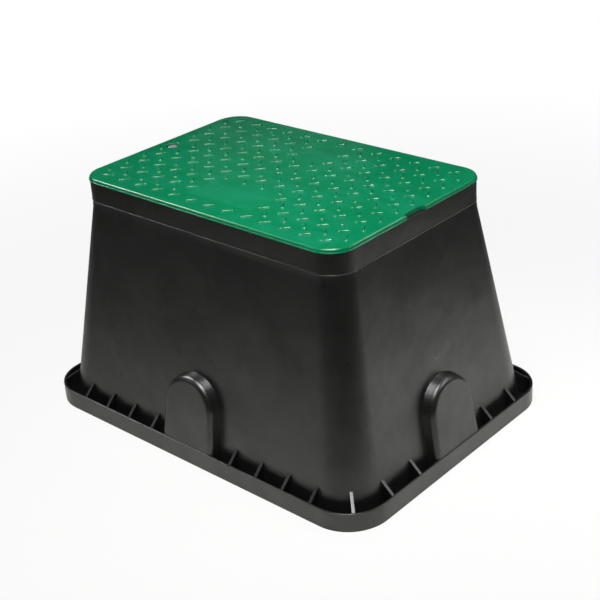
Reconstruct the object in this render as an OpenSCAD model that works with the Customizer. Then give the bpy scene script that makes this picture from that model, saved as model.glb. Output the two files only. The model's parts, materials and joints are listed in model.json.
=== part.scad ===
// Irrigation valve box: a flared black body, open top and bottom, with a green lock-down lid.
// Origin: middle of the base outline, on the ground plane. X runs along the long sides, Z is up.
// Millimetres.

/* [Overall] */
// height from the ground to the flat of the lid
box_h = 305; // [260:1:360]
// length of the lid and of the collar under it
lid_l = 409; // [380:1:440]
// width of the lid and of the collar under it
lid_w = 276; // [255:1:300]
// plan radius of the lid's corners
lid_corner_r = 32; // [28:1:40]

/* [Lid] */
// thickness of the lid's plate at its edge
lid_t = 5; // [4:0.5:7]
// height of the fine lip round the bottom of the lid's edge
lid_lip_h = 1.6; // [1:0.1:2.2]
// how far the lid's edge stands in above that lip
lid_edge_step = 1.1; // [0.6:0.1:1.6]
// rounding of the lid's top edge
lid_edge_round = 1.5; // [0.8:0.1:2]
// depth of the ring and ribs under the lid
lid_skirt_h = 16; // [10:1:18]
// thickness of the ring and ribs under the lid
lid_rib_t = 3; // [2:0.2:4]
// gap between the ring under the lid and the opening
lid_gap = 2; // [1:0.5:3]

/* [Tread] */
// spacing of the raised bars along both sides of the lid
tread_pitch = 28.8; // [27:0.2:30]
// length of a raised bar
tread_l = 14; // [10:0.5:17]
// width of a raised bar at its foot
tread_w = 5.4; // [4:0.2:6.5]
// height of a raised bar
tread_h = 1.6; // [1:0.1:2.2]
// plain margin along the lid's edge, measured to the middle of a bar
tread_margin = 16; // [14:0.5:20]
// distance of the bare patch's middle from the lid's middle
bare_y = 77.5; // [74:0.5:80]
// length of the bare patch, across the lid
bare_l = 55; // [50:1:60]
// width of the bare patch
bare_w = 40; // [34:1:50]

/* [Lid details] */
// length of the plain raised label panel
panel_l = 100; // [80:1:106]
// width of the plain raised label panel
panel_w = 41; // [30:1:44]
// distance of the panel's middle from the lid's middle
panel_y = 81.5; // [78:0.5:84]
// height of the panel above the lid
panel_h = 0.5; // [0.3:0.1:0.9]
// diameter of the round mark in the middle of the lid
mark_d = 9; // [6:0.5:12]
// depth of that mark
mark_depth = 0.7; // [0.4:0.1:1.2]
// width of the pry notch at its inner side
notch_w = 30.6; // [24:0.2:36]
// depth of the pry notch in from the lid's edge
notch_depth = 6; // [4:0.5:7]
// how much wider each side of the notch is at the lid's edge
notch_flare = 3.2; // [2:0.1:4]

/* [Collar and wall] */
// how far the collar stands in under the lid's edge
collar_in = 1; // [0.5:0.1:1.6]
// height of the straight collar under the lid
collar_h = 25.4; // [22:0.2:32]
// how far the bead round the bottom of the collar stands out
bead_out = 0.9; // [0.5:0.1:1.4]
// height over which the collar swells out to that bead
bead_h = 4; // [3:0.5:6]
// how far the neck under the bead stands in from the collar
neck_in = 0.6; // [0.3:0.1:1]
// how far the long walls stand in from the collar where they would meet the bead
wall_in_long = 2.3; // [1.8:0.1:3]
// how far each wall spreads outward on its way down to the ground
wall_spread = 46.2; // [36:0.2:52]
// plan radius of the wall's corners at the ground
wall_foot_r = 49.5; // [44:0.5:56]
// thickness of the wall
wall_t = 4.5; // [3.6:0.1:5.2]
// width of the flat land that the lid rests on
land_w = 10.5; // [9:0.5:13]
// thickness of that land
land_t = 9; // [6:0.5:12]

/* [Base flange] */
// how far the flange reaches out past the foot of the wall
flange_out = 12; // [10:0.5:16]
// thickness of the flange's floor
flange_t = 4; // [3:0.5:6]
// height of the flange's upstanding lip
lip_h = 23.6; // [18:0.2:28]
// thickness of the lip
lip_t = 3; // [2.6:0.2:4]
// how far the ribs climb the wall above the lip
rib_climb = 10.5; // [6:0.5:14]
// thickness of a rib
rib_t = 3.6; // [2.6:0.1:4.4]
// how far the long sides' ribs are set off the middle, toward the notch end
rib_off_long = 3.6; // [0:0.2:5]
// distance from the middle of a long side's ribs to the first rib
rib_first_long = 66.6; // [62:0.2:70]
// spacing of the ribs on a long side
rib_pitch_long = 41; // [36:0.5:42]
// how far the short sides' ribs are set off the middle, toward the label panel's side
rib_off_short = 2.2; // [0:0.2:4]
// distance from the middle of a short side's ribs to the first rib
rib_first_short = 71.2; // [64:0.2:76]
// spacing of the ribs on a short side
rib_pitch_short = 50.6; // [44:0.2:53]

/* [Pipe bosses] */
// arch radius of a pipe boss where it leaves the wall
boss_r = 42; // [36:0.5:46]
// distance up the wall from the ground to the middle of the arch
boss_spring = 68.5; // [60:0.5:80]
// how far a pipe boss stands out from the wall
boss_out = 14.4; // [12:0.2:15]
// how much the boss's sides draw in on the way out
boss_draw = 4.5; // [3:0.5:7]
// rounding of the boss's front edge
boss_round = 7.5; // [5:0.5:9]
// how much wider each side of a boss is at the ground than at the middle of its arch
boss_foot = 4.5; // [3:0.5:7]

/* [Lock bolt] */
// distance of the lock bolt from the lid's end
bolt_inset = 22; // [20:0.5:26]
// diameter of the recess round the bolt's head
recess_d = 16.6; // [15:0.2:18]
// depth of that recess
recess_depth = 7.1; // [6:0.1:8.5]
// thickness of the recess's floor
recess_floor = 3; // [2:0.5:4]
// thickness of the cup's wall round the recess, under the lid
recess_wall = 1.6; // [1.2:0.1:1.8]
// shank diameter of the bolt
bolt_d = 6.35; // [5:0.05:8]
// length of the shank
bolt_l = 42; // [38:1:46]
// width of the bolt's head across its flats
bolt_af = 11.1; // [9:0.1:12]
// height of the head
bolt_head_h = 4.3; // [3:0.1:5]
// outside diameter of the washer
washer_d = 15.2; // [13:0.1:16]
// thickness of the washer
washer_t = 1.5; // [1:0.1:2]
// width of the nut across its flats
nut_af = 11.1; // [9:0.1:12]
// height of the nut
nut_h = 5.6; // [4:0.1:7]

/* [Clearances] */
// running clearance round the shank, on the radius
run_clear = 0.06; // [0.03:0.01:0.1]
// clearance of the nut in its pocket, on each side
nut_clear = 0.1; // [0.05:0.05:0.2]

/* [Hidden] */
skin = 0.02;
round_fn = 96;
hull_fn = 48;
rim_z = box_h - lid_t;
collar_z = rim_z - collar_h;
col_x = lid_l/2 - collar_in;
col_y = lid_w/2 - collar_in;
col_r = lid_corner_r - collar_in;
open_x = col_x - land_w;
open_y = col_y - land_w;
open_r = col_r - land_w;
// outline of the wall at the collar and at the ground
top_x = col_x - 0.2;
top_y = col_y - wall_in_long;
top_r = col_r - 1;
foot_x = top_x + wall_spread;
foot_y = top_y + wall_spread;
lean = atan(wall_spread/collar_z);
// outline of the flange
fl_x = foot_x + flange_out;
fl_y = foot_y + flange_out;
fl_r = wall_foot_r + 3.5;
bolt_x = lid_l/2 - bolt_inset;
well_z = box_h - recess_depth;
// bracket that holds the nut, under the ring of the lid
brk_top = rim_z - lid_skirt_h - 3;
brk_w = 34;
brk_front = bolt_x - 13;
nut_z = brk_top - 13;
brk_low = nut_z - 7;
brk_root = brk_low - 30;
boss_front_r = boss_r - boss_draw - boss_round;

function wall_x(z) = top_x + wall_spread*(1 - z/collar_z);
function wall_y(z) = top_y + wall_spread*(1 - z/collar_z);
function wall_r(z) = wall_foot_r + (top_r - wall_foot_r)*z/collar_z;
// a bar keeps clear of the lid's edge, the bolt, the round mark, the panel and the bare patch
function off_patch(x, y, py, l, w) = abs(x) > l/2 || abs(y - py) > w/2;
function has_bar(x, y) = abs(x) < lid_l/2 - tread_margin && abs(y) < lid_w/2 - tread_margin
    && norm([x + bolt_x, y]) > recess_d/2 + 5 && norm([x, y]) > mark_d/2 + 5
    && off_patch(x, y, -panel_y, panel_l + 10, panel_w + 8) && off_patch(x, y, bare_y, bare_w, bare_l);

// middle and turn of every bar: one set leans one way, the set between it leans the other
reach_i = ceil(lid_l/2/tread_pitch);
reach_j = ceil(lid_w/2/tread_pitch);
bars = [for (i = [-reach_i:reach_i], j = [-reach_j:reach_j], half = [0, 0.5])
    let (x = (i + half)*tread_pitch, y = (j + half)*tread_pitch)
        if (has_bar(x, y)) [x, y, half > 0 ? -45 : 45]];
bar_sink = 0.4;
// width of a bar's top as a part of the width of its foot
bar_top = 0.42;

module outline(x, y, r) {
    square([2*(x - r), 2*y], center = true);
    square([2*x, 2*(y - r)], center = true);
    for (sx = [-1, 1], sy = [-1, 1]) translate([sx*(x - r), sy*(y - r)]) circle(r, $fn = round_fn);
}

module slab(x, y, r, z, h) {
    translate([0, 0, z]) linear_extrude(h) outline(x, y, r);
}

module slice(x, y, r, z, h) {
    translate([0, 0, z]) linear_extrude(h)
        for (sx = [-1, 1], sy = [-1, 1])
            translate([sx*(x - r), sy*(y - r)]) circle(r, $fn = hull_fn);
}

// the flared wall as a solid, drawn in by t for its inside
module flare(t) {
    hull() {
        slice(foot_x - t, foot_y - t, wall_foot_r - t, 0, skin);
        slice(top_x - t, top_y - t, top_r - t, collar_z, 1);
    }
}

// the collar's lower end swells out to a fine edge
module bead() {
    hull() {
        slice(col_x + bead_out, col_y + bead_out, col_r + bead_out, collar_z, 0.6);
        slice(col_x, col_y, col_r, collar_z, bead_h);
    }
}

// plan outline of a pipe boss: an arch that widens to the ground
module arch(r, foot) {
    translate([0, boss_spring]) circle(r, $fn = hull_fn);
    polygon([[-r - foot, -4], [r + foot, -4], [r, boss_spring], [-r, boss_spring]]);
}

// a pipe boss standing out from the wall, y up the wall and z outward
module boss_form() {
    side = boss_out - boss_round;
    base = wall_t/2;
    translate([0, 0, -base]) hull() {
        linear_extrude(base) arch(boss_r, boss_foot);
        for (a = [0, 22.5, 45, 67.5, 90])
            linear_extrude(base + side + boss_round*sin(a))
                arch(boss_front_r + boss_round*cos(a), boss_foot);
    }
}

module on_long_side() {
    translate([0, -foot_y, 0]) rotate([90 - lean, 0, 0]) children();
}

module on_short_side() {
    rotate([0, 0, 90]) translate([0, -foot_x, 0]) rotate([90 - lean, 0, 0]) children();
}

module boss_hollow() {
    r = boss_front_r - 0.5;
    translate([0, 0, -wall_t*2]) linear_extrude(wall_t*2 + boss_out - wall_t*0.8) {
        translate([0, boss_spring]) circle(r, $fn = round_fn);
        translate([-r, flange_t*1.5]) square([2*r, boss_spring - flange_t*1.5]);
    }
}

module long_rib() {
    rise = lip_h + rib_climb;
    translate([-rib_t/2, 0, 0]) rotate([90, 0, 90]) linear_extrude(rib_t)
        polygon([[wall_y(1) - wall_t/2, 1], [fl_y - lip_t/2, 1], [fl_y - lip_t/2, lip_h - 0.6],
            [fl_y - lip_t, lip_h - 0.6], [wall_y(rise), rise], [wall_y(rise) - wall_t/2, rise]]);
}

module short_rib() {
    rise = lip_h + rib_climb;
    rotate([90, 0, 0]) translate([0, 0, -rib_t/2]) linear_extrude(rib_t)
        polygon([[wall_x(1) - wall_t/2, 1], [fl_x - lip_t/2, 1], [fl_x - lip_t/2, lip_h - 0.6],
            [fl_x - lip_t, lip_h - 0.6], [wall_x(rise), rise], [wall_x(rise) - wall_t/2, rise]]);
}

// a rib across the pocket at a corner, set square to the corner's round
module corner_rib() {
    rise = lip_h + rib_climb;
    r_in = fl_r - lip_t;
    r_wall = wall_r(rise) - (fl_x - fl_r - wall_x(rise) + wall_r(rise))*sqrt(2);
    translate([fl_x - fl_r, fl_y - fl_r, 0]) rotate([90, 0, 45]) translate([0, 0, -rib_t/2])
        linear_extrude(rib_t)
            polygon([[r_wall - 2, 1], [fl_r - lip_t/2, 1], [fl_r - lip_t/2, lip_h - 0.6],
                [r_in, lip_h - 0.6], [r_wall, rise], [r_wall - 2, rise]]);
}

module ribs() {
    for (s = [-1, 1]) {
        for (k = [0:3], e = [-1, 1])
            translate([rib_off_long + e*(rib_first_long + k*rib_pitch_long), 0, 0])
                scale([1, s, 1]) long_rib();
        for (k = [0:1], e = [-1, 1])
            translate([0, e*(rib_first_short + k*rib_pitch_short) - rib_off_short, 0])
                scale([s, 1, 1]) short_rib();
        for (e = [-1, 1]) scale([s, e, 1]) corner_rib();
    }
}

// bracket under the land with a bore for the bolt and a pocket for the nut
module bracket() {
    difference() {
        translate([0, brk_w/2, 0]) rotate([90, 0, 0]) linear_extrude(brk_w)
            polygon([[-col_x + wall_t/2, brk_top], [-brk_front, brk_top], [-brk_front, brk_low],
                [-wall_x(brk_root) + wall_t/2, brk_root], [-wall_x(collar_z) + wall_t/2, collar_z]]);
        translate([-bolt_x, 0, brk_root]) cylinder(d = bolt_d + 0.8, h = brk_top - brk_root + 1, $fn = round_fn);
        translate([-bolt_x, 0, nut_z]) nut_room();
    }
}

module nut_room() {
    af = nut_af + 2*nut_clear;
    cylinder(d = af/cos(30), h = nut_h + nut_clear, $fn = 6);
    translate([0, -af/2, 0]) cube([bolt_x - brk_front + 1, af, nut_h + nut_clear]);
}

module box_body() {
    color([0.10, 0.10, 0.10]) union() {
        difference() {
            union() {
                flare(0);
                slab(col_x - neck_in, col_y - neck_in, col_r - neck_in, collar_z - 24, 25);
                slab(col_x, col_y, col_r, collar_z, collar_h);
                bead();
                slab(fl_x, fl_y, fl_r, 0, flange_t);
                difference() {
                    slab(fl_x, fl_y, fl_r, 0, lip_h);
                    slab(fl_x - lip_t, fl_y - lip_t, fl_r - lip_t, -1, lip_h + 2);
                }
                ribs();
                intersection() {
                    slab(fl_x - 0.8, fl_y - 0.8, fl_r, 0.8, box_h/2);
                    union() {
                        on_long_side() boss_form();
                        rotate([0, 0, 180]) on_long_side() boss_form();
                        on_short_side() boss_form();
                        rotate([0, 0, 180]) on_short_side() boss_form();
                    }
                }
            }
            translate([0, 0, -0.01]) flare(wall_t);
            translate([0, 0, -1]) linear_extrude(1.2)
                outline(foot_x - wall_t, foot_y - wall_t, wall_foot_r - wall_t);
            slab(col_x - wall_t, col_y - wall_t, col_r - wall_t, collar_z, collar_h - land_t);
            slab(open_x, open_y, open_r, collar_z, collar_h + 1);
            on_long_side() boss_hollow();
            rotate([0, 0, 180]) on_long_side() boss_hollow();
            on_short_side() boss_hollow();
            rotate([0, 0, 180]) on_short_side() boss_hollow();
        }
        bracket();
    }
}

// one raised bar, its sides and ends sloping in to a narrow top
module bar() {
    rise = tread_h + bar_sink;
    l = tread_l/2;
    w = tread_w/2;
    in = w*(1 - bar_top);
    intersection() {
        rotate([90, 0, 0]) translate([0, 0, -w - 1]) linear_extrude(2*w + 2)
            polygon([[-l, 0], [l, 0], [l - in, rise], [-l + in, rise]]);
        rotate([90, 0, 90]) translate([0, 0, -l - 1]) linear_extrude(2*l + 2)
            polygon([[-w, 0], [w, 0], [w - in, rise], [-w + in, rise]]);
    }
}

module tread() {
    for (b = bars) translate([b[0], b[1], box_h - bar_sink]) rotate(b[2]) bar();
}

module lid_plate() {
    x = lid_l/2;
    y = lid_w/2;
    r = lid_corner_r;
    s = lid_edge_step;
    slab(x, y, r, rim_z, lid_lip_h);
    z = rim_z + lid_lip_h/2;
    hull() for (a = [0, 30, 60, 90]) {
        q = s + lid_edge_round*(1 - cos(a));
        slice(x - q, y - q, r - q, z, box_h - lid_edge_round*(1 - sin(a)) - z);
    }
}

// ring that locates the lid in the opening, and the ribs inside it
module lid_skirt() {
    x = open_x - lid_gap;
    y = open_y - lid_gap;
    r = open_r - lid_gap;
    z = rim_z - lid_skirt_h;
    difference() {
        slab(x, y, r, z, lid_skirt_h + 0.5);
        slab(x - lid_rib_t, y - lid_rib_t, r - lid_rib_t, z - 1, lid_skirt_h + 1);
    }
    for (k = [-1, 0, 1]) translate([-x + 1, k*y/2 - lid_rib_t/2, z + 3])
        cube([2*x - 2, lid_rib_t, lid_skirt_h - 2.5]);
    for (k = [-2:2]) translate([k*x/3 - lid_rib_t/2, -y + 1, z + 3])
        cube([lid_rib_t, 2*y - 2, lid_skirt_h - 2.5]);
}

module notch() {
    x = lid_l/2;
    w = notch_w/2;
    f = notch_flare;
    translate([0, 0, rim_z - 0.01]) linear_extrude(lid_t + 1)
        polygon([[x - notch_depth, -w], [x - notch_depth, w], [x + 1, w + f], [x + 1, -w - f]]);
}

module lid() {
    color([0.0, 0.55, 0.35]) difference() {
        union() {
            lid_plate();
            lid_skirt();
            translate([-bolt_x, 0, well_z - recess_floor])
                cylinder(r = recess_d/2 + recess_wall, h = rim_z - well_z + recess_floor + 0.5, $fn = round_fn);
            translate([0, -panel_y, 0]) slab(panel_l/2, panel_w/2, 4, box_h - 0.5, panel_h + 0.5);
            tread();
        }
        notch();
        translate([-bolt_x, 0, well_z]) cylinder(d = recess_d, h = recess_depth + 5, $fn = round_fn);
        translate([-bolt_x, 0, well_z - recess_floor - 20])
            cylinder(r = bolt_d/2 + run_clear, h = recess_floor + 21, $fn = round_fn);
        translate([0, 0, box_h - mark_depth]) difference() {
            cylinder(d = mark_d, h = mark_depth + 5, $fn = round_fn);
            translate([0, 0, -1]) cylinder(d = mark_d/3, h = mark_depth + 0.6, $fn = round_fn);
        }
    }
}

module lock_bolt() {
    seat = well_z + washer_t;
    color([0.6, 0.6, 0.62]) translate([-bolt_x, 0, 0]) {
        intersection() {
            translate([0, 0, seat]) cylinder(d = bolt_af/cos(30), h = bolt_head_h, $fn = 6);
            translate([0, 0, seat]) cylinder(d1 = bolt_af*1.4, d2 = bolt_af*1.02, h = bolt_head_h, $fn = round_fn);
        }
        translate([0, 0, seat - bolt_l + 1]) cylinder(d = bolt_d, h = bolt_l, $fn = round_fn);
        translate([0, 0, seat - bolt_l]) cylinder(d1 = bolt_d - 2, d2 = bolt_d, h = 1, $fn = round_fn);
    }
}

module lock_washer() {
    color([0.6, 0.6, 0.62]) translate([-bolt_x, 0, well_z]) difference() {
        cylinder(d = washer_d, h = washer_t, $fn = round_fn);
        translate([0, 0, -1]) cylinder(r = bolt_d/2 + run_clear, h = washer_t + 2, $fn = round_fn);
    }
}

module lock_nut() {
    color([0.6, 0.6, 0.62]) translate([-bolt_x, 0, nut_z]) difference() {
        cylinder(d = nut_af/cos(30), h = nut_h, $fn = 6);
        translate([0, 0, -1]) cylinder(r = bolt_d/2 + run_clear, h = nut_h + 2, $fn = round_fn);
    }
}

box_body();
lid();
lock_bolt();
lock_washer();
lock_nut();
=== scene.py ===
import json
import math

import bmesh
import bpy
from mathutils import Matrix, Vector


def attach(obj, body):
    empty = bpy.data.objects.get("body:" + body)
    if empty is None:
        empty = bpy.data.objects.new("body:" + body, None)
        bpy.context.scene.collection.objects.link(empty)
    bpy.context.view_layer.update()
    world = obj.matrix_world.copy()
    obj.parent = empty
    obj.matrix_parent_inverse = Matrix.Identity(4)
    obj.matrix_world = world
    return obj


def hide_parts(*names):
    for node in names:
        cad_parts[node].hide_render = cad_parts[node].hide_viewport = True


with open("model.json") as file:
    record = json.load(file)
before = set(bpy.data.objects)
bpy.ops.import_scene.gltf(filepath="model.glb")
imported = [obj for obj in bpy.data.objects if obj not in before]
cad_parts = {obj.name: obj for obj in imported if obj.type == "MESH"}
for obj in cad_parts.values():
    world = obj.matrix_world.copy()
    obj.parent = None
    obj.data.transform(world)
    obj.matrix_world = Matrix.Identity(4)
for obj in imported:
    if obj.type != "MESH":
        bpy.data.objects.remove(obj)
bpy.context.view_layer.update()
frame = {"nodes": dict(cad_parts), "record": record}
scene = bpy.context.scene
MM = 0.001
SHARP_ANGLE, FLAT_WEIGHT = 38.0, 80

# Sizes in millimetres. Most are the source's. Those of the bosses, ribs, bars, panel, bead and the
# lid's edge are trimmed to the photograph.

# Box and lid
BOX_H = 305.0
LID_L, LID_W, LID_R, LID_T = 409.0, 276.0, 32.0, 5.0
LID_LIP_H, LID_STEP, LID_ROUND = 1.5, 1.0, 2.1
LID_UNDER_ROUND, LID_LIP_ROUND, LID_STEP_FILLET, SKIRT_RIB_IN = 0.4, 0.25, 0.2, 1.0
SKIRT_H, SKIRT_T, SKIRT_GAP, SKIRT_ROUND, SKIRT_BEND, SKIRT_RIB_UP = 16.0, 3.0, 2.0, 0.9, 0.26, 3.0
SINK = 0.5          # how far an added form goes into the plate
OVER = 1.0          # how far a cutter passes the surface it cuts
JUST_OVER = 0.01    # how far the widest part of a lead-in passes it

# Tread, and what it keeps clear of
PITCH, PITCHES_X, PITCHES_Y = 28.8, 8, 5      # steps of the lattice each way
BAR_L, BAR_W, BAR_H, BAR_SINK = 15.0, 5.4, 1.6, 0.4
BAR_END, KNOB_AT, KNOB_REACH = 0.66, 0.70, 0.45
WAIST_W, WAIST_H, BAR_TIP = 0.62, 0.78, 0.12
TREAD_MARGIN, ROUND_CLEAR = 16.0, 5.0
BARE_Y, BARE_L, BARE_W = 77.5, 55.0, 40.0
PANEL_L, PANEL_W, PANEL_Y, PANEL_H, PANEL_R, PANEL_SLOPE = 100.0, 41.0, 81.5, 0.3, 6.0, 1.9
PANEL_EDGE, PANEL_CLEAR_L, PANEL_CLEAR_W = 0.02, 10.0, 8.0

# Round mark and pry notch
MARK_D, MARK_DEPTH, MARK_EDGE, POST_HIGH, POST_LOW = 9.0, 0.7, 0.3, 0.4, 0.6
NOTCH_W, NOTCH_DEPTH, NOTCH_FLARE, NOTCH_ROUND = 30.6, 6.0, 3.2, 1.6
NOTCH_EDGE, NOTCH_BEND = 0.8, 0.25

# Body
COLLAR_IN, COLLAR_H, BEAD_H, NECK_IN, NECK_H = 1.0, 25.4, 4.0, 0.6, 0.6
BEAD = ((0.12, 0.0), (0.42, 0.9), (0.39, 1.04), (0.30, 1.15), (0.15, 1.21), (0.05, 1.34), (0.0, 1.7),
        (0.0, BEAD_H))          # out from the collar, up from its foot
SPREAD, FOOT_R, WALL_T, LAND_W, LAND_T = 46.2, 49.5, 4.5, 10.5, 9.0
WALL_IN_X, WALL_IN_Y, WALL_IN_R = 0.2, 2.3, 1.0
FLANGE_OUT, FLANGE_T, FLANGE_R, LIP_H, LIP_T = 12.0, 4.0, 3.5, 23.6, 3.0
FOOT_ROUND, LIP_ROUND, LIP_FILLET, WALL_FILLET, RIM_ROUND = 0.6, 0.8, 1.2, 1.5, 0.7
LAND_FILLET, COLLAR_BEND, INNER_FOOT_UP, INNER_FOOT_OUT = 1.0, 2.0, 0.7, 0.5
RIB_CLIMB, RIB_T, RIB_EDGE, RIB_UP, RIB_UNDER_LIP, CORNER_RIB_SUNK = 13.2, 3.8, 0.1, 1.0, 0.6, 2.0
RIB_OFF_LONG, RIB_FIRST_LONG, RIB_PITCH_LONG = 3.6, 66.6, 41.0
RIB_OFF_SHORT, RIB_FIRST_SHORT, RIB_PITCH_SHORT = 2.2, 71.2, 50.6

# Pipe bosses
BOSS_R, SPRING, BOSS_OUT, BOSS_DRAW, BOSS_ROUND, BOSS_FOOT = 41.3, 69.2, 14.4, 2.0, 7.0, 4.5
BOSS_FILLET, FILLET_SUNK, BOSS_LOW, BOSS_ROOT, EDGE_CLEAR = 0.4, 0.15, -4.0, -4.3, 0.8
HOLLOW_LESS, HOLLOW_BEND, CUT_MORE, CUT_OUT = 0.5, 2.0, 0.8, 3.0

# Lock bolt, its recess in the lid and its bracket in the body
BOLT_X, RECESS_D, RECESS_DEPTH, RECESS_FLOOR, RECESS_WALL = 182.5, 16.6, 7.1, 3.0, 1.6
RECESS_EDGE, WELL_ROUND, WELL_BEND, CUP_EASE, BORE_CLEAR, BORE_LEAD = 0.9, 0.6, 0.2, 0.5, 0.4, 0.5
BOLT_D, BOLT_L, BOLT_AF, HEAD_H, WASHER_T = 6.35, 42.0, 11.1, 4.3, 1.5
THREAD, THREAD_DEPTH, THREAD_FLAT, PLAIN_L, TIP_L = 1.27, 0.6, 0.12, 3.0, 1.0
HEAD_CONE, CONE_FALL, HEAD_FLAT, HEAD_RIM, HEAD_FOOT, INTO_HEAD = 1.4, 0.38, 0.93, 0.15, 0.25, 0.3
NUT_AF, NUT_H, RUN_CLEAR, NUT_CLEAR = 11.1, 5.6, 0.06, 0.1
BRK_GAP, BRK_W, BRK_REACH, BRK_EDGE, BRK_SLOPE = 3.0, 34.0, 13.0, 0.8, 30.0
NUT_DOWN, NUT_UNDER, POCKET_REACH = 13.0, 7.0, 30.0

# Places worked out from them
RIM_Z = BOX_H - LID_T
COLLAR_Z = RIM_Z - COLLAR_H
COL_X, COL_Y, COL_R = LID_L/2 - COLLAR_IN, LID_W/2 - COLLAR_IN, LID_R - COLLAR_IN
OPEN_X, OPEN_Y, OPEN_R = COL_X - LAND_W, COL_Y - LAND_W, COL_R - LAND_W
TOP_X, TOP_Y, TOP_R = COL_X - WALL_IN_X, COL_Y - WALL_IN_Y, COL_R - WALL_IN_R
FOOT_X, FOOT_Y = TOP_X + SPREAD, TOP_Y + SPREAD
FL_X, FL_Y, FL_R = FOOT_X + FLANGE_OUT, FOOT_Y + FLANGE_OUT, FOOT_R + FLANGE_R
LEAN = math.atan(SPREAD/COLLAR_Z)
RIB_TOP = LIP_H + RIB_CLIMB
BOSS_FLAT = BOSS_R - BOSS_DRAW - BOSS_ROUND
HOLLOW_R, HOLLOW_LOW, HOLLOW_DEEP = BOSS_FLAT - HOLLOW_LESS, FLANGE_T*1.5, BOSS_OUT - WALL_T*0.8
WELL_Z = BOX_H - RECESS_DEPTH
AT_BOLT = Matrix.Translation((-BOLT_X, 0, 0))
BRK_TOP, BRK_FRONT = RIM_Z - SKIRT_H - BRK_GAP, BOLT_X - BRK_REACH
NUT_Z = BRK_TOP - NUT_DOWN
BRK_LOW = NUT_Z - NUT_UNDER
BRK_ROOT = BRK_LOW - BRK_SLOPE


def wall_x(z):
    return TOP_X + SPREAD*(1 - z/COLLAR_Z)


def wall_y(z):
    return TOP_Y + SPREAD*(1 - z/COLLAR_Z)


def wall_r(z):
    return FOOT_R + (TOP_R - FOOT_R)*z/COLLAR_Z


# Mesh building

def turn(n):
    """Sines and cosines of n even steps of a quarter turn."""
    angles = [math.radians(90*i/n) for i in range(n + 1)]
    return [(math.sin(a), math.cos(a)) for a in angles]


def outline(x, y, r, z, steps=14):
    """A rounded rectangle at height z, of half sizes x and y."""
    pts = []
    for k, (sx, sy) in enumerate(((1, 1), (-1, 1), (-1, -1), (1, -1))):
        for i in range(steps + 1):
            a = math.radians(90*k + 90*i/steps)
            pts.append((sx*(x - r) + r*math.cos(a), sy*(y - r) + r*math.sin(a), z))
    return pts


def circle(r, z, steps):
    angles = [2*math.pi*i/steps for i in range(steps)]
    return [(r*math.cos(a), r*math.sin(a), z) for a in angles]


class Shell:
    """Gathers closed surfaces, given in millimetres, into one mesh."""

    def __init__(self):
        self.bm = bmesh.new()

    def loft(self, rings, place=None, loop=False):
        """A skin over rings of equal count, capped, or closed on itself as a loop."""
        bm = bmesh.new()
        rows = [[bm.verts.new(p) for p in ring] for ring in rings]
        n = len(rows[0])
        pairs = list(zip(rows, rows[1:]))
        if loop:
            pairs.append((rows[-1], rows[0]))
        for a, b in pairs:
            for i in range(n):
                j = (i + 1) % n
                bm.faces.new((a[i], a[j], b[j], b[i]))
        if not loop:
            bm.faces.new(rows[0])
            bm.faces.new(rows[-1])
        self.take(bm, place)

    def prism(self, pts, thick, place, edge=0.28):
        """A flat outline given thickness about its plane, its edges rounded."""
        bm = bmesh.new()
        base = bm.faces.new([bm.verts.new((x, y, -thick/2)) for x, y in pts])
        new = bmesh.ops.extrude_face_region(bm, geom=[base])["geom"]
        top = [v for v in new if isinstance(v, bmesh.types.BMVert)]
        bmesh.ops.translate(bm, verts=top, vec=(0, 0, thick))
        bmesh.ops.bevel(bm, geom=list(bm.edges), offset=edge, segments=2, profile=0.5, affect="EDGES")
        self.take(bm, place)

    def take(self, bm, place=None):
        """Adds one closed surface, moved to its place, its faces turned outwards."""
        bmesh.ops.remove_doubles(bm, verts=bm.verts, dist=1e-5)
        bmesh.ops.recalc_face_normals(bm, faces=bm.faces)
        scale = Matrix.Scale(MM, 4)
        bm.transform(scale @ place if place is not None else scale)
        if place is not None and place.determinant() < 0:
            bmesh.ops.reverse_faces(bm, faces=bm.faces)
        mesh = bpy.data.meshes.new("part")
        bm.to_mesh(mesh)
        bm.free()
        self.bm.from_mesh(mesh)
        bpy.data.meshes.remove(mesh)

    def take_object(self, piece):
        """Adds an object's surfaces and removes the object."""
        mesh = piece.data
        self.bm.from_mesh(mesh)
        bpy.data.objects.remove(piece)
        bpy.data.meshes.remove(mesh)

    def make(self, name):
        mesh = bpy.data.meshes.new(name)
        self.bm.to_mesh(mesh)
        self.bm.free()
        piece = bpy.data.objects.new(name, mesh)
        scene.collection.objects.link(piece)
        return piece


def solid(rings, place=None, loop=False):
    """One lofted surface as an object of its own, to carve or join with."""
    shell = Shell()
    shell.loft(rings, place, loop)
    return shell.make("solid")


def turned(profile, place=None, steps=64, loop=False):
    """A plug or ring turned from (radius, height) points."""
    return solid([circle(r, z, steps) for r, z in profile], place, loop)


def carve(piece, other, operation="DIFFERENCE"):
    """Cuts the other object away from the piece, or joins it on, and removes the other."""
    mod = piece.modifiers.new("carve", "BOOLEAN")
    mod.operation = operation
    mod.solver = "EXACT"
    mod.object = other
    bpy.context.view_layer.update()
    carved = piece.evaluated_get(bpy.context.evaluated_depsgraph_get())
    mesh = bpy.data.meshes.new_from_object(carved)
    piece.modifiers.remove(mod)
    old, piece.data = piece.data, mesh
    bpy.data.meshes.remove(old)
    old = other.data
    bpy.data.objects.remove(other)
    bpy.data.meshes.remove(old)


def smooth(piece):
    """Smooth shading that breaks at sharp edges and keeps flat faces flat."""
    for face in piece.data.polygons:
        face.use_smooth = True
    piece.data.set_sharp_from_angle(angle=math.radians(SHARP_ANGLE))
    mod = piece.modifiers.new("flats", "WEIGHTED_NORMAL")
    mod.keep_sharp = True
    mod.weight = FLAT_WEIGHT


# Body

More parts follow.
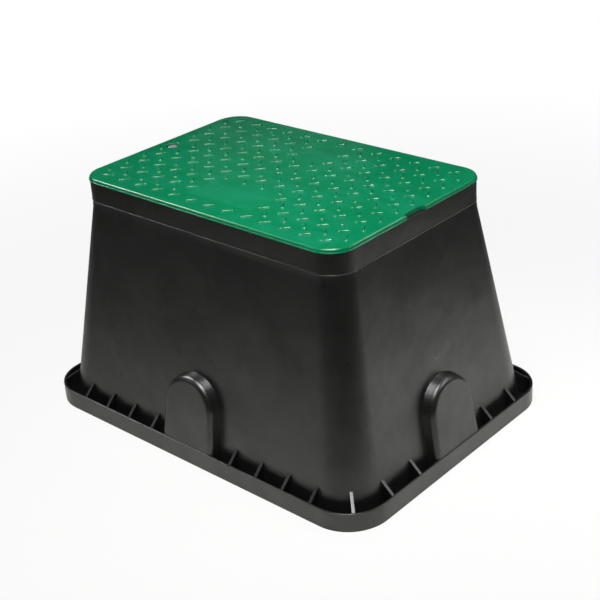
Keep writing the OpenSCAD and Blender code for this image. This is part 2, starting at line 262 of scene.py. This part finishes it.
def body_rings():
    """The body's section, from the flange's foot up the outside and down the inside."""
    rings = []

    def flange(d, z):
        rings.append(outline(FL_X - d, FL_Y - d, FL_R - d, z))

    def wall(z, t=0.0):
        rings.append(outline(wall_x(z) - t, wall_y(z) - t, wall_r(z) - t, z))

    def collar(d, z):
        rings.append(outline(COL_X - d, COL_Y - d, COL_R - d, z))

    for s, c in turn(3):
        flange(FOOT_ROUND*(1 - s), FOOT_ROUND*(1 - c))
    for s, c in turn(4):
        flange(LIP_ROUND*(1 - c), LIP_H - LIP_ROUND*(1 - s))
    for s, c in turn(4):
        flange(LIP_T - LIP_ROUND*(1 - s), LIP_H - LIP_ROUND*(1 - c))
    for s, c in turn(3):
        flange(LIP_T + LIP_FILLET*(1 - c), FLANGE_T + LIP_FILLET*(1 - s))
    for s, c in turn(3):
        wall(FLANGE_T + WALL_FILLET*(1 - c), -WALL_FILLET*(1 - s))
    wall(COLLAR_Z*(1 - (WALL_IN_Y - NECK_IN)/SPREAD))
    rings.append(outline(TOP_X, COL_Y - NECK_IN, TOP_R, COLLAR_Z - NECK_H))
    for out, up in BEAD:
        collar(-out, COLLAR_Z + up)
    for s, c in turn(3):
        collar(RIM_ROUND*(1 - c), RIM_Z - RIM_ROUND*(1 - s))
    for s, c in turn(3):
        collar(LAND_W - RIM_ROUND*(1 - s), RIM_Z - RIM_ROUND*(1 - c))
    collar(LAND_W, RIM_Z - LAND_T)
    collar(WALL_T + LAND_FILLET, RIM_Z - LAND_T)
    collar(WALL_T, RIM_Z - LAND_T - LAND_FILLET)
    collar(WALL_T, COLLAR_Z + COLLAR_BEND)
    wall(COLLAR_Z, WALL_T)
    wall(INNER_FOOT_UP, WALL_T)
    inner = WALL_T - INNER_FOOT_OUT
    rings.append(outline(FOOT_X - inner, FOOT_Y - inner, FOOT_R - inner, 0.0))
    return rings


def side_places():
    """Where each wall's own frame lies: x along it, y up its slope, z out of it."""
    half = Matrix.Rotation(math.pi, 4, "Z")
    lean = Matrix.Rotation(math.pi/2 - LEAN, 4, "X")
    long_side = Matrix.Translation((0, -FOOT_Y, 0)) @ lean
    short_side = Matrix.Rotation(math.pi/2, 4, "Z") @ Matrix.Translation((0, -FOOT_X, 0)) @ lean
    return [long_side, half @ long_side, short_side, half @ short_side]


def arch(r, foot, low, h, steps=28):
    """Outline of a pipe boss on the wall, h out from it."""
    left = [(-r - foot*(1 - k/3), low + (SPRING - low)*k/3) for k in range(3)]
    angles = [math.pi*i/steps for i in range(steps + 1)]
    top = [(-r*math.cos(a), SPRING + r*math.sin(a)) for a in angles]
    right = [(-x, y) for x, y in reversed(left)]
    return [(x, y, h) for x, y in left + top + right]


def boss_rings():
    """A boss from the middle of its hollow, round its root in the wall, to its face."""
    rings = []

    def hollow(less, h):
        rings.append(arch(HOLLOW_R - less, 0, HOLLOW_LOW + less, h))

    def boss(r, h):
        rings.append(arch(r, BOSS_FOOT, BOSS_LOW, h))

    hollow(HOLLOW_BEND, HOLLOW_DEEP)
    for s, c in turn(3):
        hollow(HOLLOW_BEND*(1 - s), HOLLOW_DEEP - HOLLOW_BEND*(1 - c))
    hollow(0, BOSS_ROOT)
    boss(BOSS_R, BOSS_ROOT)
    for s, c in turn(4):
        boss(BOSS_R + BOSS_FILLET*(1 - s), BOSS_FILLET*(1 - c) - FILLET_SUNK*c)
    for s, c in turn(10):
        boss(BOSS_FLAT + BOSS_ROUND*c, BOSS_OUT - BOSS_ROUND*(1 - s))
    return rings


def add_bosses(shell):
    """A boss in each wall, kept clear of the ground and of the flange's outer face."""
    for place in side_places():
        rings = []
        for ring in boss_rings():
            row = []
            for p in ring:
                v = place @ Vector(p)
                v.z = max(v.z, EDGE_CLEAR)
                v.x = max(-FL_X + EDGE_CLEAR, min(FL_X - EDGE_CLEAR, v.x))
                v.y = max(-FL_Y + EDGE_CLEAR, min(FL_Y - EDGE_CLEAR, v.y))
                row.append(v)
            rings.append(row)
        shell.loft(rings)


def rib_form(root, root_high, wall_high, outer):
    """A rib's side: from inside the wall to the lip, and from the lip up to the wall."""
    under = LIP_H - RIB_UNDER_LIP
    return [(root, RIB_UP), (outer - LIP_T/2, RIB_UP), (outer - LIP_T/2, under),
            (outer - LIP_T, under), (wall_high, RIB_TOP), (root_high, RIB_TOP)]


def add_ribs(shell):
    """Ribs in the flange's pocket: eight on each long side, four on each short side, one at each corner."""
    across = Matrix(((0, 0, 1, 0), (1, 0, 0, 0), (0, 1, 0, 0), (0, 0, 0, 1)))
    along = Matrix.Rotation(math.pi/2, 4, "X")
    sunk = WALL_T/2
    long_form = rib_form(wall_y(RIB_UP) - sunk, wall_y(RIB_TOP) - sunk, wall_y(RIB_TOP), FL_Y)
    short_form = rib_form(wall_x(RIB_UP) - sunk, wall_x(RIB_TOP) - sunk, wall_x(RIB_TOP), FL_X)
    middle_x, middle_y = FL_X - FL_R, FL_Y - FL_R
    r_wall = wall_r(RIB_TOP) - (middle_x - wall_x(RIB_TOP) + wall_r(RIB_TOP))*math.sqrt(2)
    r_root = r_wall - CORNER_RIB_SUNK
    corner_form = rib_form(r_root, r_root, r_wall, FL_R)
    for s in (-1, 1):
        for k in range(4):
            for e in (-1, 1):
                x = RIB_OFF_LONG + e*(RIB_FIRST_LONG + k*RIB_PITCH_LONG)
                place = Matrix.Translation((x, 0, 0)) @ Matrix.Diagonal((1, s, 1, 1)) @ across
                shell.prism(long_form, RIB_T, place, RIB_EDGE)
        for k in range(2):
            for e in (-1, 1):
                y = e*(RIB_FIRST_SHORT + k*RIB_PITCH_SHORT) - RIB_OFF_SHORT
                place = Matrix.Translation((0, y, 0)) @ Matrix.Diagonal((s, 1, 1, 1)) @ along
                shell.prism(short_form, RIB_T, place, RIB_EDGE)
        for e in (-1, 1):
            place = (Matrix.Diagonal((s, e, 1, 1)) @ Matrix.Translation((middle_x, middle_y, 0))
                     @ Matrix.Rotation(math.pi/4, 4, "Z") @ along)
            shell.prism(corner_form, RIB_T, place)


def make_bracket():
    """The bracket inside the end wall, with the bolt's bore and a side pocket for the nut."""
    shell = Shell()
    side = [(-COL_X + WALL_T/2, BRK_TOP), (-BRK_FRONT, BRK_TOP), (-BRK_FRONT, BRK_LOW),
            (-wall_x(BRK_ROOT) + WALL_T/2, BRK_ROOT), (-wall_x(COLLAR_Z) + WALL_T/2, COLLAR_Z)]
    shell.prism(side, BRK_W, Matrix.Rotation(math.pi/2, 4, "X"), BRK_EDGE)
    bracket = shell.make("bracket")
    bore = BOLT_D/2 + BORE_CLEAR
    drill = [(bore, BRK_ROOT), (bore, BRK_TOP - BORE_LEAD), (bore + BORE_LEAD, BRK_TOP + JUST_OVER),
             (bore + BORE_LEAD, BRK_TOP + OVER)]
    carve(bracket, turned(drill, AT_BOLT))
    corner = (NUT_AF/2 + NUT_CLEAR)/math.cos(math.pi/6)
    hexagon = [(corner*math.cos(a), corner*math.sin(a)) for a in (math.radians(60*i) for i in range(6))]
    pocket = [(x + POCKET_REACH if x > 0 else x, y) for x, y in hexagon]
    heights = (NUT_Z, NUT_Z + NUT_H + NUT_CLEAR)
    carve(bracket, solid([[(x, y, z) for x, y in pocket] for z in heights], AT_BOLT))
    return bracket


def make_body():
    """The shell, opened into the bosses' hollows, with the bosses, ribs and bracket."""
    shell = Shell()
    shell.loft(body_rings(), loop=True)
    body = shell.make("box_shell")
    for place in side_places():
        opening = [arch(HOLLOW_R + CUT_MORE, 0, HOLLOW_LOW - CUT_MORE, h) for h in (-WALL_T*2, CUT_OUT)]
        carve(body, solid(opening, place))
    rest = Shell()
    add_bosses(rest)
    add_ribs(rest)
    rest.take_object(make_bracket())
    rest.take_object(body)
    return rest.make("box_shell")


# Lid

def bar_places():
    """Centre and turn of each bar: a lattice at 45 degrees and one between it at -45."""
    def clear_of(x, y, middle, length, width):
        return abs(x) > length/2 or abs(y - middle) > width/2

    out = []
    for i in range(-PITCHES_X, PITCHES_X + 1):
        for j in range(-PITCHES_Y, PITCHES_Y + 1):
            for half in (0, 0.5):
                x, y = (i + half)*PITCH, (j + half)*PITCH
                if (abs(x) < LID_L/2 - TREAD_MARGIN and abs(y) < LID_W/2 - TREAD_MARGIN
                        and math.hypot(x + BOLT_X, y) > RECESS_D/2 + ROUND_CLEAR
                        and math.hypot(x, y) > MARK_D/2 + ROUND_CLEAR
                        and clear_of(x, y, -PANEL_Y, PANEL_L + PANEL_CLEAR_L, PANEL_W + PANEL_CLEAR_W)
                        and clear_of(x, y, BARE_Y, BARE_W, BARE_L)):
                    out.append((x, y, -45 if half else 45))
    return out


def bar_grid():
    """One raised bar: a low round ridge with fuller, rounded ends."""
    half = [0.3, 0.58, 0.74, 0.86, 0.94, 0.985, 1]
    along = [-u for u in reversed(half)] + [0] + half
    across = [-1, -0.93, -0.72, -0.4, 0, 0.4, 0.72, 0.93, 1]
    rows = []
    for u in along:
        a = abs(u)
        end = math.sqrt(max(0.0, 1 - (max(0, a - BAR_END)/(1 - BAR_END))**2))
        knob = max(0.0, 1 - abs(a - KNOB_AT)/KNOB_REACH)
        knob = knob*knob*(3 - 2*knob)
        w = BAR_W/2*(WAIST_W + (1 - WAIST_W)*knob)*max(end, BAR_TIP)
        h = BAR_H*(WAIST_H + (1 - WAIST_H)*knob)*end
        rows.append([(u*BAR_L/2, v*w, h*max(0.0, 1 - abs(v)**3.0)**0.55) for v in across])
    return rows


def add_bars(shell):
    """The tread: each bar closed by straight sides and a flat foot inside the plate."""
    rows = bar_grid()
    m, n = len(rows), len(rows[0])
    rim = ([(i, 0) for i in range(m)] + [(m - 1, j) for j in range(1, n)]
           + [(i, n - 1) for i in range(m - 2, -1, -1)] + [(0, j) for j in range(n - 2, 0, -1)])
    for x, y, angle in bar_places():
        bm = bmesh.new()
        grid = [[bm.verts.new(p) for p in row] for row in rows]
        for i in range(m - 1):
            for j in range(n - 1):
                bm.faces.new((grid[i][j], grid[i + 1][j], grid[i + 1][j + 1], grid[i][j + 1]))
        low = [bm.verts.new((grid[i][j].co.x, grid[i][j].co.y, -BAR_SINK)) for i, j in rim]
        for k, (i, j) in enumerate(rim):
            after = (k + 1) % len(rim)
            i2, j2 = rim[after]
            bm.faces.new((grid[i][j], grid[i2][j2], low[after], low[k]))
        bm.faces.new(low)
        shell.take(bm, Matrix.Translation((x, y, BOX_H)) @ Matrix.Rotation(math.radians(angle), 4, "Z"))


def make_plate():
    """The lid's plate with its stepped edge."""
    rings = []

    def ring(d, z):
        rings.append(outline(LID_L/2 - d, LID_W/2 - d, LID_R - d, z))

    step_z = RIM_Z + LID_LIP_H
    for s, c in turn(3):
        ring(LID_UNDER_ROUND*(1 - s), RIM_Z + LID_UNDER_ROUND*(1 - c))
    for s, c in turn(3):
        ring(LID_LIP_ROUND*(1 - c), step_z - LID_LIP_ROUND*(1 - s))
    for s, c in turn(2):
        ring(LID_STEP - LID_STEP_FILLET*(1 - s), step_z + LID_STEP_FILLET*(1 - c))
    for s, c in turn(6):
        ring(LID_STEP + LID_ROUND*(1 - c), BOX_H - LID_ROUND*(1 - s))
    plate = Shell()
    plate.loft(rings)
    return plate.make("lid_cover")


def carve_recess(lid):
    """The cup under the plate, the recess in it and the bolt's bore."""
    cup = RECESS_D/2 + RECESS_WALL
    floor_z = WELL_Z - RECESS_FLOOR
    under = [(cup - CUP_EASE, floor_z), (cup, floor_z + CUP_EASE), (cup, RIM_Z + SINK)]
    carve(lid, turned(under, AT_BOLT), "UNION")
    r = RECESS_D/2
    well = [(r - WELL_ROUND, WELL_Z), (r - WELL_BEND, WELL_Z + WELL_BEND), (r, WELL_Z + WELL_ROUND)]
    well += [(r + RECESS_EDGE*(1 - c), BOX_H - RECESS_EDGE*(1 - s)) for s, c in turn(4)]
    well += [(r + RECESS_EDGE, BOX_H + 2*OVER)]
    carve(lid, turned(well, AT_BOLT))
    bore = BOLT_D/2 + RUN_CLEAR
    carve(lid, turned([(bore, floor_z - 5*OVER), (bore, WELL_Z + 2*OVER)], AT_BOLT))


def carve_mark(lid):
    """The round mark: a shallow ring round a low post."""
    m, post, e = MARK_D/2, MARK_D/6, MARK_EDGE
    low = BOX_H - MARK_DEPTH
    section = [(m - e, low), (m, low + e), (m, BOX_H - e), (m + e, BOX_H), (m + e, BOX_H + OVER),
               (post - e, BOX_H + OVER), (post - e, BOX_H - POST_HIGH), (post, BOX_H - POST_LOW), (post, low)]
    carve(lid, turned(section, steps=48, loop=True))


def carve_notch(lid):
    """The pry notch: flared at its mouth, with eased inner corners."""
    rings = []
    edges = ((0, RIM_Z - OVER), (0, BOX_H - NOTCH_EDGE), (NOTCH_BEND, BOX_H - NOTCH_BEND),
             (NOTCH_EDGE, BOX_H), (NOTCH_EDGE, BOX_H + OVER))
    r = NOTCH_ROUND
    for wider, z in edges:
        half, back = NOTCH_W/2 + wider, LID_L/2 - NOTCH_DEPTH - wider
        side = [(LID_L/2 + 2*OVER, half + NOTCH_FLARE), (back + r, half + NOTCH_FLARE*r/NOTCH_DEPTH),
                (back + 0.3*r, half - 0.25*r), (back, half - r)]
        rings.append([(x, -y, z) for x, y in side] + [(x, y, z) for x, y in reversed(side)])
    carve(lid, solid(rings))


def add_panel(shell):
    """The bare label panel, a slightly raised field with a long gentle edge."""
    rings = []
    for d, z in ((0, BOX_H - SINK), (0, BOX_H + PANEL_EDGE), (PANEL_SLOPE, BOX_H + PANEL_H)):
        ring = outline(PANEL_L/2 - d, PANEL_W/2 - d, PANEL_R - d, z, 6)
        rings.append([(x, y - PANEL_Y, z) for x, y, z in ring])
    shell.loft(rings)


def add_skirt(shell):
    """The ring that locates the lid in the opening, and the ribs inside it."""
    x, y, r = OPEN_X - SKIRT_GAP, OPEN_Y - SKIRT_GAP, OPEN_R - SKIRT_GAP
    low, high, t, e, bend = RIM_Z - SKIRT_H, RIM_Z + SINK, SKIRT_T, SKIRT_ROUND, SKIRT_BEND
    section = [(0, high), (0, low + e), (bend, low + bend), (e, low),
               (t - e, low), (t - bend, low + bend), (t, low + e), (t, high)]
    shell.loft([outline(x - d, y - d, r - d, z, 8) for d, z in section], loop=True)
    h = SKIRT_H - SKIRT_RIB_UP + SINK
    middle = low + SKIRT_RIB_UP + h/2

    def rib(reach, at, facing):
        end = reach - SKIRT_RIB_IN
        form = [(-h/2, -end), (h/2, -end), (h/2, end), (-h/2, end)]
        shell.prism(form, t, Matrix.Translation((*at, middle)) @ Matrix(facing))

    for k in (-1, 0, 1):
        rib(x, (0, k*y/2), ((0, 1, 0, 0), (0, 0, 1, 0), (1, 0, 0, 0), (0, 0, 0, 1)))
    for k in range(-2, 3):
        rib(y, (k*x/3, 0), ((0, 0, 1, 0), (0, 1, 0, 0), (1, 0, 0, 0), (0, 0, 0, 1)))


def make_lid():
    lid = make_plate()
    carve_recess(lid)
    carve_mark(lid)
    carve_notch(lid)
    rest = Shell()
    add_bars(rest)
    add_panel(rest)
    add_skirt(rest)
    rest.take_object(lid)
    return rest.make("lid_cover")


# Lock bolt

def head_rings(seat, around=72):
    """A hexagon head, cut by a cone so that its corners are chamfered on top."""
    half = BOLT_AF/2
    rings = []
    for k in (0, 0.03, 0.6, 0.68, 0.76, 0.84, 0.92, 0.97, 1.0):
        cone = half*(HEAD_CONE - CONE_FALL*k) - (HEAD_RIM if k == 1.0 else 0)
        ring = []
        for i in range(around):
            a = 2*math.pi*i/around
            flat = half/math.cos(abs((a % (math.pi/3)) - math.pi/6))
            r = min(flat, cone) - (HEAD_FOOT if k == 0 else 0)
            ring.append((r*math.cos(a), r*math.sin(a), seat + HEAD_H*k))
        rings.append(ring)
    rings.append(circle(HEAD_FLAT*half, seat + HEAD_H, around))
    return rings


def shank_rings(seat, around=36, rings_a_turn=8):
    """A shank with a thread up to its plain length, and a coned tip."""
    top, low = seat + INTO_HEAD, seat - BOLT_L
    steps = int((top - low)/THREAD*rings_a_turn)
    rings = []
    for j in range(steps + 1):
        z = low + (top - low)*j/steps
        limit = BOLT_D/2 - max(0.0, TIP_L - (z - low))
        ring = []
        for i in range(around):
            f = (z/THREAD - i/around) % 1.0
            groove = THREAD_DEPTH*max(0.0, abs(2*f - 1) - THREAD_FLAT) if z < seat - PLAIN_L else 0.0
            r = min(BOLT_D/2 - groove, limit)
            a = 2*math.pi*i/around
            ring.append((r*math.cos(a), r*math.sin(a), z))
        rings.append(ring)
    return rings


def make_bolt():
    seat = WELL_Z + WASHER_T
    shell = Shell()
    shell.loft(head_rings(seat), AT_BOLT)
    shell.loft(shank_rings(seat), AT_BOLT)
    return shell.make("bolt_threaded")


# Node materials

class Nodes:
    """Builds the node tree of a material or world."""

    def __init__(self, owner, output="ShaderNodeOutputMaterial"):
        owner.use_nodes = True
        self.tree = owner.node_tree
        self.tree.nodes.clear()
        self.surface = self.add(output).inputs["Surface"]

    def add(self, kind, **values):
        n = self.tree.nodes.new(kind)
        for k, v in values.items():
            setattr(n, k, v)
        return n

    def link(self, a, b):
        self.tree.links.new(a, b)

    def give(self, value, socket):
        """Links an output to the socket, or writes a number or colour into it."""
        if hasattr(value, "is_linked"):
            self.link(value, socket)
        else:
            socket.default_value = value if isinstance(value, (int, float)) else (*value, 1)

    def coords(self, scale=(1, 1, 1)):
        c = self.add("ShaderNodeTexCoord").outputs["Object"]
        if scale == (1, 1, 1):
            return c
        m = self.add("ShaderNodeMapping")
        m.inputs["Scale"].default_value = scale
        self.link(c, m.inputs["Vector"])
        return m.outputs["Vector"]

    def noise(self, coords, scale, detail=3.0, rough=0.5, twist=0.0):
        n = self.add("ShaderNodeTexNoise")
        n.inputs["Scale"].default_value = scale
        n.inputs["Detail"].default_value = detail
        n.inputs["Roughness"].default_value = rough
        n.inputs["Distortion"].default_value = twist
        self.link(coords, n.inputs["Vector"])
        return n.outputs["Fac"]

    def ramp(self, value, stops):
        """A colour ramp through (position, grey or colour) stops."""
        n = self.add("ShaderNodeValToRGB")
        for e, (p, c) in zip(n.color_ramp.elements, stops):
            e.position = p
            e.color = (c, c, c, 1) if isinstance(c, (int, float)) else (*c, 1)
        self.link(value, n.inputs["Fac"])
        return n.outputs["Color"]

    def mix(self, fac, a, b, kind="MIX"):
        n = self.add("ShaderNodeMix", data_type="RGBA", blend_type=kind)
        self.give(fac, n.inputs[0])
        self.give(a, n.inputs[6])
        self.give(b, n.inputs[7])
        return n.outputs[2]

    def calc(self, operation, a, b=None):
        n = self.add("ShaderNodeMath", operation=operation)
        self.give(a, n.inputs[0])
        if b is not None:
            self.give(b, n.inputs[1])
        return n.outputs[0]

    def span(self, value, start, end, low, high):
        """From low at the start to high at the end, and no further either way."""
        n = self.add("ShaderNodeMapRange")
        for k, v in (("From Min", start), ("From Max", end), ("To Min", low), ("To Max", high)):
            n.inputs[k].default_value = v
        self.link(value, n.inputs["Value"])
        return n.outputs["Result"]

    def axes(self):
        n = self.add("ShaderNodeSeparateXYZ")
        self.link(self.coords(), n.inputs[0])
        return n.outputs

    def inside(self, middle, half, soft, most):
        """A value that is most inside an upright box, 0 outside, with a soft edge."""
        axes = self.axes()
        near = []
        for i in (0, 1):
            away = self.calc("ABSOLUTE", self.calc("SUBTRACT", axes[i], middle[i]))
            near.append(self.span(away, half[i], half[i] - soft, 0.0, most))
        return self.calc("MINIMUM", near[0], near[1])

    def bump(self, height, strength, distance, normal=None):
        n = self.add("ShaderNodeBump")
        n.inputs["Strength"].default_value = strength
        n.inputs["Distance"].default_value = distance
        self.link(height, n.inputs["Height"])
        if normal is not None:
            self.link(normal, n.inputs["Normal"])
        return n.outputs["Normal"]

    def blend(self, fac, first, second):
        """Mixes two shaders into the output."""
        n = self.add("ShaderNodeMixShader")
        self.link(fac, n.inputs["Fac"])
        self.link(first.outputs[0], n.inputs[1])
        self.link(second.outputs[0], n.inputs[2])
        self.link(n.outputs[0], self.surface)

    def principled(self):
        n = self.add("ShaderNodeBsdfPrincipled")
        self.link(n.outputs["BSDF"], self.surface)
        return n.inputs


def black_plastic():
    """Clouded and lightly dusty, with moulding grain and slow waves, and less sheen on the collar."""
    material = bpy.data.materials.new("black_plastic")
    nodes = Nodes(material)
    shader = nodes.principled()
    at = nodes.coords()
    cloud = nodes.ramp(nodes.noise(at, 7, 5, 0.6, 0.4),
                       [(0.3, (0.0070, 0.0072, 0.0068)), (0.75, (0.0105, 0.0107, 0.0100))])
    dust = nodes.ramp(nodes.noise(at, 26, 6, 0.7), [(0.52, 0.0), (0.8, 1.0)])
    fleck = nodes.ramp(nodes.noise(at, 900, 3, 0.6), [(0.5, 0.0), (0.75, 0.2)])
    dusty = nodes.mix(1.0, dust, fleck, "MULTIPLY")
    nodes.link(nodes.mix(dusty, cloud, (0.04, 0.04, 0.037)), shader["Base Color"])
    rough = nodes.ramp(nodes.noise(at, 34, 5, 0.62), [(0.3, 0.27), (0.8, 0.37)])
    nodes.link(rough, shader["Roughness"])
    foot = COLLAR_Z*MM
    sheen = nodes.span(nodes.axes()["Z"], foot - 0.0006, foot + 0.0004, 0.86, 0.52)
    patches = nodes.ramp(nodes.noise(at, 15, 5, 0.6, 0.5), [(0.3, 0.72), (0.7, 1.0)])
    nodes.link(nodes.mix(1.0, sheen, patches, "MULTIPLY"), shader["Specular IOR Level"])
    grain = nodes.bump(nodes.noise(at, 800, 3, 0.6), 0.16, 0.0006)
    mottle = nodes.bump(nodes.noise(at, 70, 3, 0.5), 0.16, 0.0014, grain)
    waves = nodes.bump(nodes.noise(at, 13, 3, 0.5), 0.30, 0.006, mottle)
    nodes.link(waves, shader["Normal"])
    return material


def green_plastic():
    """Glossy and clouded, with a paler, duller label panel."""
    material = bpy.data.materials.new("green_plastic")
    nodes = Nodes(material)
    shader = nodes.principled()
    at = nodes.coords()
    base = nodes.ramp(nodes.noise(at, 11, 5, 0.6, 0.6),
                      [(0.3, (0.0005, 0.235, 0.092)), (0.7, (0.0005, 0.285, 0.112))])
    bloom = nodes.ramp(nodes.noise(nodes.coords((0.8, 1.3, 1)), 17, 6, 0.68, 0.8), [(0.44, 0.0), (0.72, 0.8)])
    worn = nodes.mix(bloom, base, (0.010, 0.325, 0.160))
    panel = nodes.inside((0, -PANEL_Y*MM), (PANEL_L*MM/2, PANEL_W*MM/2), 0.001, 0.7)
    patches = nodes.ramp(nodes.noise(at, 24, 4, 0.6), [(0.35, 0.1), (0.65, 0.8)])
    frost = nodes.mix(1.0, panel, patches, "MULTIPLY")
    nodes.link(nodes.mix(frost, worn, (0.008, 0.33, 0.155)), shader["Base Color"])
    gloss = nodes.ramp(nodes.noise(at, 30, 6, 0.65, 0.5), [(0.3, 0.11), (0.8, 0.19)])
    nodes.link(nodes.mix(panel, gloss, (0.26, 0.26, 0.26)), shader["Roughness"])
    nodes.link(nodes.bump(nodes.noise(at, 420, 3, 0.6), 0.03, 0.0005), shader["Normal"])
    return material


def zinc_steel():
    """Dull zinc plate."""
    material = bpy.data.materials.new("zinc_steel")
    nodes = Nodes(material)
    shader = nodes.principled()
    at = nodes.coords()
    shader["Metallic"].default_value = 1.0
    cloud = nodes.ramp(nodes.noise(at, 300, 4, 0.6), [(0.3, (0.42, 0.41, 0.47)), (0.7, (0.58, 0.56, 0.62))])
    nodes.link(cloud, shader["Base Color"])
    rough = nodes.ramp(nodes.noise(at, 700, 4, 0.6), [(0.3, 0.38), (0.8, 0.52)])
    nodes.link(rough, shader["Roughness"])
    nodes.link(nodes.bump(nodes.noise(at, 1500, 3, 0.6), 0.08, 0.0003), shader["Normal"])
    return material


# Pieces

materials = {"black_plastic": black_plastic(), "green_plastic": green_plastic(), "zinc_steel": zinc_steel()}
slots = {r["node"]: r["material_slot"] for r in frame["record"]["subparts"]}


def dress(piece, node):
    piece.data.materials.clear()
    piece.data.materials.append(materials[slots[node]])


for node in ("lock_washer", "lock_nut"):
    dress(frame["nodes"][node], node)
for piece, node, body in ((make_body(), "box_body", "box"), (make_lid(), "lid", "lid"),
                          (make_bolt(), "lock_bolt", "bolt")):
    dress(piece, node)
    smooth(piece)
    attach(piece, body)
    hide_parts(node)


# Surroundings, in metres

FLOOR_SIZE, FADE_START, FADE_END = 14, 0.3, 1.3
NEAR_WHITE, FLOOR_SHEEN, WORLD_LIGHT = 0.86, 0.04, 0.03


def floor_white():
    """Lit and shadowed by the lamps, but mostly plain white to the camera, and wholly so far off."""
    material = bpy.data.materials.new("floor_white")
    nodes = Nodes(material)
    lit = nodes.add("ShaderNodeBsdfDiffuse")
    lit.inputs["Color"].default_value = (0.87, 0.865, 0.835, 1)
    white = nodes.add("ShaderNodeEmission")
    white.inputs["Strength"].default_value = 1.0
    ray = nodes.add("ShaderNodeLightPath").outputs
    away = nodes.add("ShaderNodeVectorMath", operation="LENGTH")
    nodes.link(nodes.coords(), away.inputs[0])
    fade = nodes.span(away.outputs["Value"], FADE_START, FADE_END, NEAR_WHITE, 1.0)
    to_camera = nodes.calc("MULTIPLY", ray["Is Camera Ray"], fade)
    to_gloss = nodes.calc("MULTIPLY", ray["Is Glossy Ray"], FLOOR_SHEEN)
    nodes.blend(nodes.calc("ADD", to_camera, to_gloss), lit, white)
    return material


def make_floor():
    bpy.ops.mesh.primitive_plane_add(size=FLOOR_SIZE, location=(0, 0, 0))
    floor = bpy.context.object
    floor.name = "floor"
    floor.data.materials.append(floor_white())


def make_world():
    """Near black, so that the sheen comes from the lamps and the floor, but white to the camera."""
    world = bpy.data.worlds.new("world")
    scene.world = world
    nodes = Nodes(world, "ShaderNodeOutputWorld")
    dark = nodes.add("ShaderNodeBackground")
    dark.inputs["Strength"].default_value = WORLD_LIGHT
    white = nodes.add("ShaderNodeBackground")
    white.inputs["Color"].default_value = (1, 1, 1, 1)
    white.inputs["Strength"].default_value = 1.0
    ray = nodes.add("ShaderNodeLightPath").outputs
    nodes.blend(ray["Is Camera Ray"], dark, white)


def area(name, loc, target, size, power, spread):
    """A lamp in metres and watts, its beam's spread in degrees."""
    data = bpy.data.lights.new(name, "AREA")
    data.shape = "RECTANGLE"
    data.size, data.size_y = size
    data.energy = power
    data.spread = math.radians(spread)
    lamp = bpy.data.objects.new(name, data)
    scene.collection.objects.link(lamp)
    lamp.location = loc
    lamp.visible_camera = False
    lamp.rotation_euler = (Vector(target) - Vector(loc)).to_track_quat("-Z", "Y").to_euler()
    return lamp


def add_lamps():
    area("key", (0.26, -0.42, 1.42), (0.12, -0.13, 0.2), (0.8, 0.8), 2.75, 58)
    area("left", (-1.10, -0.1, 1.25), (-0.25, -0.4, 0.0), (0.6, 0.8), 0.72, 80)
    area("right", (0.72, 0.36, 0.65), (0.5, 0.22, 0.0), (0.4, 0.4), 1.1, 80)
    area("rear", (-1.39, 1.47, 0.98), (-0.1, 0.1, 0.3), (0.5, 0.24), 0.03, 180)
    # small bright panels that only glint on edges and ridges
    for name, loc, size, power in (("glint_left", (-1.13, -0.22, 1.20), (0.28, 0.5), 12.0),
                                   ("glint_rear", (-0.30, 0.32, 1.48), (0.35, 0.35), 7.0),
                                   ("glint_top", (0.20, -0.18, 1.55), (0.3, 0.3), 5.0),
                                   ("glint_back", (0.34, 1.00, 1.42), (0.4, 0.3), 3.0),
                                   ("glint_low_left", (-0.90, -1.10, 0.75), (0.6, 0.4), 1.2),
                                   ("glint_low_right", (1.15, 1.00, 0.68), (0.6, 0.4), 1.2)):
        area(name, loc, (0.0, 0.0, 0.3), size, power, 180).visible_diffuse = False


# The photograph's camera, fitted to it: angles in degrees, places in metres, PICTURE, FOCAL_PX and
# SHIFT_PX in its pixels
PICTURE = 600
AZIMUTH, ELEVATION, ROLL = 43.1, 26.866, -3.805
DISTANCE, ASIDE, BELOW = 1.546061, 0.017602, 0.014963
FOCAL_PX, SHIFT_PX = 1244.99673, 0.6
SENSOR_MM = 36


def make_camera():
    az, el, roll = (math.radians(a) for a in (AZIMUTH, ELEVATION, ROLL))
    back = Vector((math.sin(az)*math.cos(el), -math.cos(az)*math.cos(el), math.sin(el)))
    level = Vector((math.cos(az), math.sin(az), 0))
    upright = back.cross(level)
    right = level*math.cos(roll) + upright*math.sin(roll)
    up = upright*math.cos(roll) - level*math.sin(roll)
    place = Vector((0, 0, BOX_H*MM/2)) + back*DISTANCE + right*ASIDE - up*BELOW
    data = bpy.data.cameras.new("camera")
    data.sensor_width = SENSOR_MM
    data.lens = SENSOR_MM*FOCAL_PX/PICTURE
    data.shift_x = -SHIFT_PX/PICTURE
    data.shift_y = SHIFT_PX/PICTURE
    data.clip_start, data.clip_end = 0.05, 50
    camera = bpy.data.objects.new("camera", data)
    scene.collection.objects.link(camera)
    camera.matrix_world = Matrix((*zip(right, up, back, place), (0, 0, 0, 1)))
    scene.camera = camera


make_floor()
make_world()
add_lamps()
make_camera()
scene.view_settings.view_transform = "Standard"
